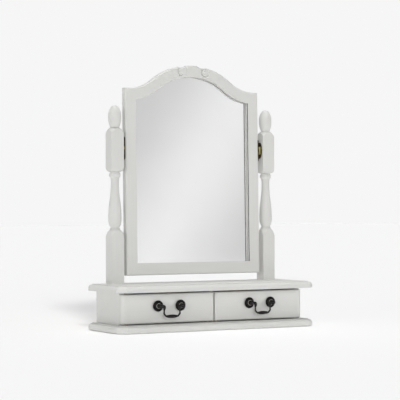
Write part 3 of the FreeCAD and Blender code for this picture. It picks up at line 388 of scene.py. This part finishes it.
def arc_points(centre, radii, start, end, count):
    """Points on part of an ellipse, by angles in degrees."""
    angles = (math.radians(start + (end - start) * step / count) for step in range(count + 1))
    return [
        (centre[0] + radii[0] * math.cos(angle), centre[1] + radii[1] * math.sin(angle)) for angle in angles
    ]


# --------------------------------------------------------------------------------- mirror

def arch_height(inset, x):
    """Height of the arched edge at x, drawn in by inset: a cove at each shoulder, tangent into the crest."""
    drop = CREST_RADIUS - (CREST_TOP - SHOULDER)
    rise = CREST_TOP - SHOULDER
    cove = (COVE_START ** 2 + drop ** 2 - CREST_RADIUS ** 2) / (2 * rise)
    join = COVE_START * (CREST_RADIUS - inset) / (CREST_RADIUS + cove)
    if abs(x) < join:
        return SHOULDER - drop + math.sqrt((CREST_RADIUS - inset) ** 2 - x * x)
    radius = cove + inset
    return SHOULDER - inset + radius - math.sqrt(radius ** 2 - min(radius, COVE_START - abs(x)) ** 2)


def scallop_drop(x):
    """How far a scallop lowers the crest's outer edge at x."""
    centre = arch_height(0.0, SCALLOP_X) + SCALLOP - SCALLOP_DEPTH
    reach = abs(x) - SCALLOP_X
    if abs(reach) >= SCALLOP:
        return 0.0
    return max(0.0, arch_height(0.0, x) - centre + math.sqrt(SCALLOP ** 2 - reach * reach))


# The carved lines of the crest, each as (points, depth, half-width) on the front face.
SCROLLS = [
    (arc_points((0.0335, 0.1762), (0.0092, 0.0088), 42, 318, 24), 0.0018, 0.0012),
    ([(-0.0352, 0.1857), (-0.0372, 0.1822), (-0.0376, 0.1785), (-0.0366, 0.1742), (-0.0349, 0.1706),
      (-0.0328, 0.1684), (-0.0300, 0.1680), (-0.0262, 0.1690)], 0.0018, 0.0012),
    ([(-0.0157, 0.1720), (-0.0157, 0.1885)], 0.0009, 0.0009),
    ([(0.0112, 0.1893), (0.0150, 0.1868)], 0.0017, 0.0010),
    (arc_points((-0.0290, 0.1768), (0.0042, 0.0040), 150, 300, 10), 0.0007, 0.0009),
    (arc_points((0.0345, 0.1762), (0.0048, 0.0044), 60, 300, 14), 0.0006, 0.0009),
]
# A line's reach and its lip's place are in half-widths, and the lip's height is a share of its depth.
LINE_REACH, LIP_PLACE, LIP_SHARE = 5, 2.4, 0.08
CARVED_REACH = 0.05
# Carving deeper than this gets painted shade, a little darker paint.
RECESS_DEPTH = 0.0011
# The rail's mesh is fine to this distance from the middle, and starts a hair inside the arch.
FINE_HALF = 0.048
RAIL_EASE = 0.00003
PLAIN_COLUMNS, FINE_COLUMNS, FACE_ROWS, ROUND_ROWS = 44, 216, 46, 7
# The round on the arch's front edge and the small arris at the sight edge, which the solids don't have.
FRONT_ROUND = 0.004
ARRIS, ARRIS_TURN = 0.0006, 0.0002
# A scallop's drop fades out over this much of the face.
FADE_START, FADE_WIDTH = 0.003, 0.009


def stroke_distance(x, z, points):
    """Distance from a spot to a line of points."""
    nearest = 1.0
    for (x0, z0), (x1, z1) in zip(points, points[1:]):
        run, rise = x1 - x0, z1 - z0
        share = max(0.0, min(1.0, ((x - x0) * run + (z - z0) * rise) / (run * run + rise * rise)))
        nearest = min(nearest, math.hypot(x - x0 - share * run, z - z0 - share * rise))
    return nearest


def carving(x, z):
    """Depth of the carved lines at a spot on the crest, with a low raised lip along each."""
    if abs(x) > CARVED_REACH:
        return 0.0
    depth = 0.0
    for points, deep, half in SCROLLS:
        away = stroke_distance(x, z, points)
        if away < LINE_REACH * half:
            depth += deep * math.exp(-((away / half) ** 2))
            depth -= LIP_SHARE * deep * math.exp(-(((away - LIP_PLACE * half) / half) ** 2))
    return depth


def rail_section():
    """The rail's section as (inset, depth), anticlockwise from its back outer edge, and the reveal's row."""
    section = [(0.0, BACK), (0.0, 0.002)]
    section += [
        (FRONT_ROUND * (1 - math.cos(turn)), FRONT + FRONT_ROUND * (1 - math.sin(turn)))
        for turn in (math.pi / 2 * step / ROUND_ROWS for step in range(ROUND_ROWS + 1))
    ]
    flat = MEMBER - ARRIS - FRONT_ROUND
    section += [(FRONT_ROUND + flat * step / FACE_ROWS, FRONT) for step in range(1, FACE_ROWS + 1)]
    section += [(MEMBER - ARRIS_TURN, FRONT + ARRIS_TURN), (MEMBER, FRONT + ARRIS)]
    reveal = len(section) - 1
    return section + [(MEMBER, LIP_BACK), (REBATE, LIP_BACK), (REBATE, BACK)], reveal


def carved_rail():
    """The arched rail: its section swept along the arch, fine enough at the crest for the carving."""
    columns = [-SIGHT + step * (SIGHT - FINE_HALF) / PLAIN_COLUMNS for step in range(PLAIN_COLUMNS)]
    columns += [-FINE_HALF + step * (2 * FINE_HALF) / FINE_COLUMNS for step in range(FINE_COLUMNS + 1)]
    columns += [-column for column in reversed(columns[:PLAIN_COLUMNS])]
    section, reveal = rail_section()
    points = []
    for x in columns:
        drop = scallop_drop(x)
        for inset, depth in section:
            fade = max(0.0, 1 - max(0.0, inset - FADE_START) / FADE_WIDTH)
            z = arch_height(max(inset, RAIL_EASE), x) - drop * fade * fade * (3 - 2 * fade)
            carved = FRONT_ROUND / 2 < inset < MEMBER - ARRIS_TURN and depth < FRONT / 2
            points.append((x, depth + (carving(x, z) if carved else 0.0), z))

    # The lip's back, where the glass beds, is whiter than the paint as a painted highlight seen in the
    # mirror, and the deeper carving gets painted shade.
    count = len(section)
    faces = skin(len(columns), count)
    indices = []
    for index, corners in enumerate(faces[:-2]):
        row = index % count
        middle = [(points[corners[0]][axis] + points[corners[2]][axis]) / 2 for axis in (0, 2)]
        # Faces in deep carving get the painted shade.
        recessed = ROUND_ROWS + 2 < row < reveal - 1 and carving(*middle) > RECESS_DEPTH
        indices.append(1 if row == reveal + 1 else 2 if recessed else 0)
    rail = add_piece(
        "carved_top_rail", "mirror", points, faces, [PAINT["x"], BED_HIGHLIGHT, CARVING_PAINTED_SHADE],
        indices + [0, 0], MIRROR_FRAME,
    )
    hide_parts("frame_top_rail")


def sheet_outline(ease):
    """The glass's outline drawn in by ease, anticlockwise from its lower left corner."""
    half, foot = GLASS_HALF - ease, GLASS_FOOT + ease
    arch = [half - 2 * half * step / ARCH_STEPS for step in range(ARCH_STEPS + 1)]
    return [(-half, foot), (half, foot)] + [(x, arch_height(GLASS_INSET + ease, x)) for x in arch]


def silvering_sheet():
    """The silvering, which stands for the glass: a thin sheet with its outline and slightly eased edges."""
    front, back = SILVER_DEPTHS
    outline, inner = sheet_outline(0.0), sheet_outline(SILVER_EASE)
    rings = [(inner, front), (outline, front + SILVER_EASE), (outline, back - SILVER_EASE), (inner, back)]
    points = [(x, depth, z) for ring, depth in rings for x, z in ring]
    faces = skin(len(rings), len(outline))
    sheet = add_piece(
        "mirror_silvering", "mirror", points, faces, [silver_finish()],
        frame_of=MIRROR_FRAME, sharp=20.0,
    )
    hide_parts("mirror_glass")


def silver_finish():
    """The silvering's finish: bright, with faint broad tarnish and a hint of waviness."""
    finish = Finish("silvering", Metallic=1.0, Roughness=0.06)
    tarnish = finish.noise(finish.place(), 9.0, 3.0)
    finish.set(Base_Color=finish.ramp(tarnish, (0.3, colour(249, 249, 249)), (0.7, colour(252, 252, 252))))
    return finish.set(Normal=finish.relief(finish.noise(finish.place(), 5.0, 1.0), 0.00001)).material


def bed_highlight_finish():
    """A flat white, whiter than the paint, where the glass beds: a painted highlight seen in the mirror."""
    finish = Finish("undercoat_painted_highlight", IOR=1.45)
    mottle = finish.noise(finish.place(), 160.0, 4.0)
    finish.set(
        Base_Color=finish.ramp(mottle, (0.35, colour(240, 240, 238)), (0.65, colour(246, 246, 244))),
        Roughness=finish.spread(mottle, 0.6, 0.8),
    )
    return finish.set(Normal=finish.relief(mottle, 0.0001)).material


GLASS_INSET, GLASS_HALF = 0.022, 0.151
GLASS_FOOT = (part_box("mirror_glass")[0].z - SWIVEL.z) / math.cos(MIRROR_LEAN) + 0.0002
ARCH_STEPS = 120
SILVER_DEPTHS, SILVER_EASE = (0.0033, 0.0035), 0.00005
# The lip's back is painted white as a painted highlight.
BED_HIGHLIGHT = bed_highlight_finish()
carved_rail()
silvering_sheet()


# -------------------------------------------------------------------------------- handles

# The source's places: a handle's middle, its posts' spacing, the drawer's face and the bail's axis.
HANDLE_Z = 0.057
HANDLE_X = 0.11575
POST_SPACING = 0.0555
FACE = -0.0485
BAIL_Y = -0.0645
BALL = 0.0052
# Each bead as (radius, distance forward, thickness). The inner one is painted paler, as a painted highlight.
BEADS = ((0.01105, 0.0037, 0.00135), (0.0082, 0.0055, 0.0012), (0.0053, 0.0071, 0.0011))
# Half of the bail as (across, up) from its hinge, with the bend at each corner after the first.
BAIL_HALF = ((0.0265, 0.0), (0.0183, 0.0), (0.0196, -0.0170), (0.0145, -0.0225))
BAIL_BENDS = (0.0027, 0.0036, 0.0036)
BAIL_GAP = 0.0007
GRIP_HALF, LEG = 0.0128, 0.00175
TURNED_SIDES, BAIL_SIDES = 48, 20


def arc(centre, radius, start, end, count):
    """Points on a circular arc, by angles in degrees."""
    return arc_points(centre, (radius, radius), start, end, count)


def lathe(profile, place, count):
    """Points and faces of a profile of (radius, distance forward) turned about the fore-and-aft axis."""
    points = []
    for radius, forward in profile:
        for step in range(count):
            turn = 2 * math.pi * step / count
            points.append(place + Vector((radius * math.cos(turn), -forward, radius * math.sin(turn))))
    return points, skin(len(profile), count)


def rosette_profile():
    """A threaded tail, a flared foot, three beads that step inwards, a waisted neck and the ball."""
    profile = [(0.0019, -0.0168), (0.0021, -0.0164), (0.0021, 0.0)]
    profile += [(0.0092, 0.0), (0.0100, 0.0008), (0.0110, 0.0021)]
    for radius, forward, bead in BEADS:
        start = len(profile)
        profile += arc((radius, forward), bead, -40, 165, 12)
    # The inner bead's outer faces carry the painted highlight.
    wear_and_highlight = range(start + 4, start + 9)
    profile += [(0.0036, 0.0078), (0.0031, 0.0088), (0.0029, 0.0098)]
    profile += arc((0.0, FACE - BAIL_Y), BALL, -56, 86, 18)
    return profile, wear_and_highlight


def swept(path, radii, count):
    """Points and faces of a round bar along a path in the XZ plane, with its own radius at each point."""
    points = []
    for turn, (spot, radius) in enumerate(zip(path, radii)):
        along_path = (path[min(turn + 1, len(path) - 1)] - path[max(turn - 1, 0)]).normalized()
        side = Vector((along_path.z, 0.0, -along_path.x))
        for step in range(count):
            angle = 2 * math.pi * step / count
            depth = Vector((0.0, radius * math.sin(angle), 0.0))
            points.append(spot + side * (radius * math.cos(angle)) + depth)
    return points, skin(len(path), count)


def rounded(corners, bends, gap):
    """A path through corners, each rounded by its own bend, with points about a gap apart."""
    spots = [corners[0]]
    for before, corner, after, bend in zip(corners, corners[1:], corners[2:], bends):
        into, away = (corner - before).normalized(), (after - corner).normalized()
        turn = into.angle(away)
        reach = bend * math.tan(turn / 2)
        centre = corner + (away - into).normalized() * (bend / math.cos(turn / 2))
        start = corner - into * reach - centre
        spin = into.cross(away).normalized()
        for step in range(9):
            spots.append(centre + Matrix.Rotation(turn * step / 8, 3, spin) @ start)
    spots.append(corners[-1])
    path = [spots[0]]
    for spot in spots[1:]:
        run = spot - path[-1]
        pieces = max(1, round(run.length / gap))
        path += [path[-1] + run * (piece + 1) / pieces for piece in range(pieces - 1)] + [spot]
    return path


def bail_radius(x, z):
    """The bail's radius: thick ears at the balls, slim legs, and a swelled grip with a collar at each end."""
    reach = abs(x)
    if z < -0.0200 and reach < GRIP_HALF:
        share = reach / GRIP_HALF
        collar = 0.00035 * math.exp(-(((reach - 0.0108) / 0.0007) ** 2))
        return 0.0019 + 0.0020 * (1 - share * share) ** 0.8 + collar
    if reach > 0.0170 and z > -0.0110:
        ease = max(0.0, min(1.0, (z + 0.0110) / 0.0080))
        return LEG + 0.0014 * ease * ease * (3 - 2 * ease)
    return LEG + 0.0003 * max(0.0, min(1.0, (-z - 0.0140) / 0.0060))


def dress_handle(side, sign):
    """A drop handle: two beaded rosettes and the bail that swings between their balls."""
    profile, wear_and_highlight = rosette_profile()
    points, faces, indices = [], [], []
    for way in (-1, 1):
        place = Vector((sign * HANDLE_X + way * POST_SPACING / 2, FACE, HANDLE_Z))
        turned, sides = lathe(profile, place, TURNED_SIDES)
        faces += moved_on(sides, len(points))
        points += turned
        # The inner bead's faces get the painted highlight.
        indices += [1 if face // TURNED_SIDES in wear_and_highlight else 0 for face in range(len(sides))]
    rosettes = add_piece(
        f"beaded_rosettes_{side}", f"drawer_{side}", points, faces, [BLACK, HIGHLIGHT_BLACK], indices
    )
    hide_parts(f"handle_rosettes_{side}")
    corners = [Vector((-x, 0.0, z)) for x, z in BAIL_HALF]
    corners += [Vector((x, 0.0, z)) for x, z in reversed(BAIL_HALF)]
    path = rounded(corners, BAIL_BENDS + BAIL_BENDS[::-1], BAIL_GAP)
    radii = [bail_radius(spot.x, spot.z) for spot in path]
    hinge = Vector((sign * HANDLE_X, BAIL_Y, HANDLE_Z))
    points, faces = swept([hinge + spot for spot in path], radii, BAIL_SIDES)
    bail = add_piece(f"swelled_bail_{side}", f"bail_{side}", points, faces, [BLACK])
    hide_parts(f"handle_bail_{side}")


# -------------------------------------------------------------------------- swivel plates

# Distances from the middle to the post's face, the plate's face and the bar's face.
POST_FACE = 0.181
PLATE_FRONT = 0.1795
BAR_FRONT = 0.1783
OVAL_RADII = (0.010, 0.019)
BAR_HALF = (0.0042, 0.0090)
BAR_CORNER, BAR_SHIFT = 0.0012, 0.0012


def raised(outline, low, high, ease):
    """Points and faces of a flat shape in the YZ plane, raised along X from low to high with an eased rim."""
    middle = [sum(axis) / len(outline) for axis in zip(*outline)]

    def drawn_in(spot):
        reach = math.hypot(spot[0] - middle[0], spot[1] - middle[1])
        share = (reach - ease) / reach
        return middle[0] + (spot[0] - middle[0]) * share, middle[1] + (spot[1] - middle[1]) * share

    step = ease if high > low else -ease
    inner = [drawn_in(spot) for spot in outline]
    rings = [(outline, low), (outline, high - step), (inner, high)]
    return [(x, y, z) for ring, x in rings for y, z in ring], skin(len(rings), len(outline))


def dress_post_plate(side, sign):
    """The post's oval plate, darkened with age, with a bright brass bar raised on it."""
    oval = arc_points((SWIVEL.y, SWIVEL.z), OVAL_RADII, 0, 350, 35)
    deep, high = (half - BAR_CORNER for half in BAR_HALF)
    bar = []
    for across, up, start in ((1, 1, 0), (-1, 1, 90), (-1, -1, 180), (1, -1, 270)):
        middle = (SWIVEL.y - BAR_SHIFT + across * deep, SWIVEL.z + up * high)
        bar += arc(middle, BAR_CORNER, start, start + 90, 5)
    plate_points, plate_faces = raised(oval, sign * POST_FACE, sign * PLATE_FRONT, 0.0005)
    bar_points, bar_faces = raised(bar, sign * (PLATE_FRONT + 0.0002), sign * BAR_FRONT, 0.0003)
    faces = plate_faces + moved_on(bar_faces, len(plate_points))
    indices = [0] * len(plate_faces) + [1] * len(bar_faces)
    plate = add_piece(
        f"oval_plate_{side}", "stand", plate_points + bar_points, faces, [BRONZE, BRASS], indices
    )
    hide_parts(f"post_plate_{side}")


for dress in (dress_handle, dress_post_plate):
    for side, sign in zip(SIDES, (-1, 1)):
        dress(side, sign)


# --------------------------------------------------------------------------------- studio

BACKDROP = linear(246)
WHITE = (1.0, 1.0, 1.0, 1.0)
FLOOR_REACH = 30.0
FLOOR_TONE = (0.82, 0.82, 0.82, 1.0)
# The low skylight fades out between these heights of the sky.
LOW_SKY = (math.sin(math.radians(8.0)), math.sin(math.radians(22.0)))
# The photo's camera, solved from its edges.
CAMERA = Vector((-1.68614, -3.03484, 0.25761))
FOCAL_LENGTH = 138.335
YAW, RISE, ROLL = (math.radians(angle) for angle in (28.92, 0.52, -0.2))
# Each lamp as (name, strength, spread, azimuth, elevation), with its angles in degrees.
LAMPS = (
    ("overhead_lamp", 0.67, 30.0, 0.0, 90.0),
    ("left_lamp", 0.09, 20.0, -65.0, 8.0),
    ("key_lamp", 0.20, 14.0, -17.0, 22.0),
)
FLOOR_LAMP = ("floor_lamp", 0.52, 8.0, -17.0, 28.0)


def view_axes():
    """The camera's right, up and forward directions."""
    forward = Vector((math.sin(YAW) * math.cos(RISE), math.cos(YAW) * math.cos(RISE), math.sin(RISE)))
    level = Vector((math.cos(YAW), -math.sin(YAW), 0.0))
    upright = level.cross(forward)
    right = level * math.cos(ROLL) + upright * math.sin(ROLL)
    return right, right.cross(forward), forward


def add_camera():
    """A level view of the whole object from its front left."""
    right, up, forward = view_axes()
    lens = bpy.data.cameras.new("camera")
    lens.lens = FOCAL_LENGTH
    lens.clip_end = 100.0
    camera = bpy.data.objects.new("camera", lens)
    turn = Matrix((right, up, -forward)).transposed().to_4x4()
    camera.matrix_world = Matrix.Translation(CAMERA) @ turn
    bpy.context.scene.collection.objects.link(camera)
    bpy.context.scene.camera = camera


def add_floor():
    """A wide plain floor."""
    mesh = bpy.data.meshes.new("floor")
    corners = [(x * FLOOR_REACH, y * FLOOR_REACH, 0.0) for x, y in ((-1, -1), (1, -1), (1, 1), (-1, 1))]
    mesh.from_pydata(corners, [], [range(4)])
    floor = bpy.data.objects.new("floor", mesh)
    finish = Finish("floor_paint", Base_Color=FLOOR_TONE, Roughness=1.0, Specular_IOR_Level=0.0)
    mesh.materials.append(finish.material)
    bpy.context.scene.collection.objects.link(floor)
    return floor


def add_sun(name, strength, spread, azimuth, elevation, only=None):
    """A soft lamp, lighting a facing white surface to its strength. Azimuth 0 is from -Y, 90 from +X."""
    lamp = bpy.data.lights.new(name, "SUN")
    lamp.energy = strength * math.pi
    lamp.angle = math.radians(spread)
    sun = bpy.data.objects.new(name, lamp)
    turn, rise = math.radians(azimuth), math.radians(elevation)
    source = Vector((math.sin(turn) * math.cos(rise), -math.cos(turn) * math.cos(rise), math.sin(rise)))
    sun.rotation_euler = source.to_track_quat("Z", "Y").to_euler()
    bpy.context.scene.collection.objects.link(sun)
    if only:
        lit = bpy.data.collections.new(f"{name}_lights")
        lit.objects.link(only)
        sun.light_linking.receiver_collection = lit


def add_world(low_light, high_light, band_dark, band_light, band_tilt, band_offset, band_half):
    """Skylight strongest near the level, a plain backdrop, and a soft diagonal band for the mirror."""
    world = bpy.data.worlds.new("studio")
    world.use_nodes = True
    bpy.context.scene.world = world
    world.node_tree.nodes.clear()
    nodes = Nodes(world.node_tree)
    toward = nodes.add("ShaderNodeTexCoord").outputs["Generated"]

    def fade(value, start, end, first, last):
        """A value that turns smoothly from first to last between start and end."""
        made = nodes.add(
            "ShaderNodeMapRange", Value=value, From_Min=start, From_Max=end, To_Min=first, To_Max=last
        )
        made.interpolation_type = "SMOOTHSTEP"
        return made.outputs["Result"]

    def background(strength):
        return nodes.add("ShaderNodeBackground", Color=WHITE, Strength=strength).outputs["Background"]

    def choose(share, first, second):
        made = nodes.add("ShaderNodeMixShader", Fac=share)
        nodes.feed(made.inputs[1], first)
        nodes.feed(made.inputs[2], second)
        return made.outputs["Shader"]

    # The band crosses the view at a tilt; the mirror, leaning back a little, turns it to face the camera.
    right, up, _ = view_axes()
    across = right * math.cos(band_tilt) - up * math.sin(band_tilt)
    mirror_normal = Vector((0.0, -math.cos(MIRROR_LEAN), math.sin(MIRROR_LEAN)))
    axis = across - mirror_normal * (2 * across.dot(mirror_normal))
    away = nodes.calculate("SUBTRACT", nodes.dot(toward, axis), band_offset)
    band = fade(nodes.calculate("ABSOLUTE", away, 0.0), 0.0, band_half, band_light, band_dark)

    # Mirror and glass rays see the band, the camera sees the backdrop, and the rest is lit by the skylight.
    height = nodes.add("ShaderNodeSeparateXYZ", Vector=toward).outputs["Z"]
    sky = fade(height, *LOW_SKY, low_light, high_light)
    rays = nodes.add("ShaderNodeLightPath").outputs
    shown = nodes.calculate("MAXIMUM", rays["Is Glossy Ray"], rays["Is Transmission Ray"])
    mirrored = choose(shown, background(sky), background(band))
    seen = choose(rays["Is Camera Ray"], mirrored, background(BACKDROP))
    nodes.add("ShaderNodeOutputWorld", Surface=seen)


add_camera()
floor = add_floor()
for lamp in LAMPS:
    add_sun(*lamp)
add_sun(*FLOOR_LAMP, only=floor)
add_world(
    low_light=1.9, high_light=0.0, band_dark=0.62, band_light=0.88, band_tilt=math.radians(29.8),
    band_offset=-0.009, band_half=0.055,
)
bpy.context.scene.view_settings.view_transform = "Standard"
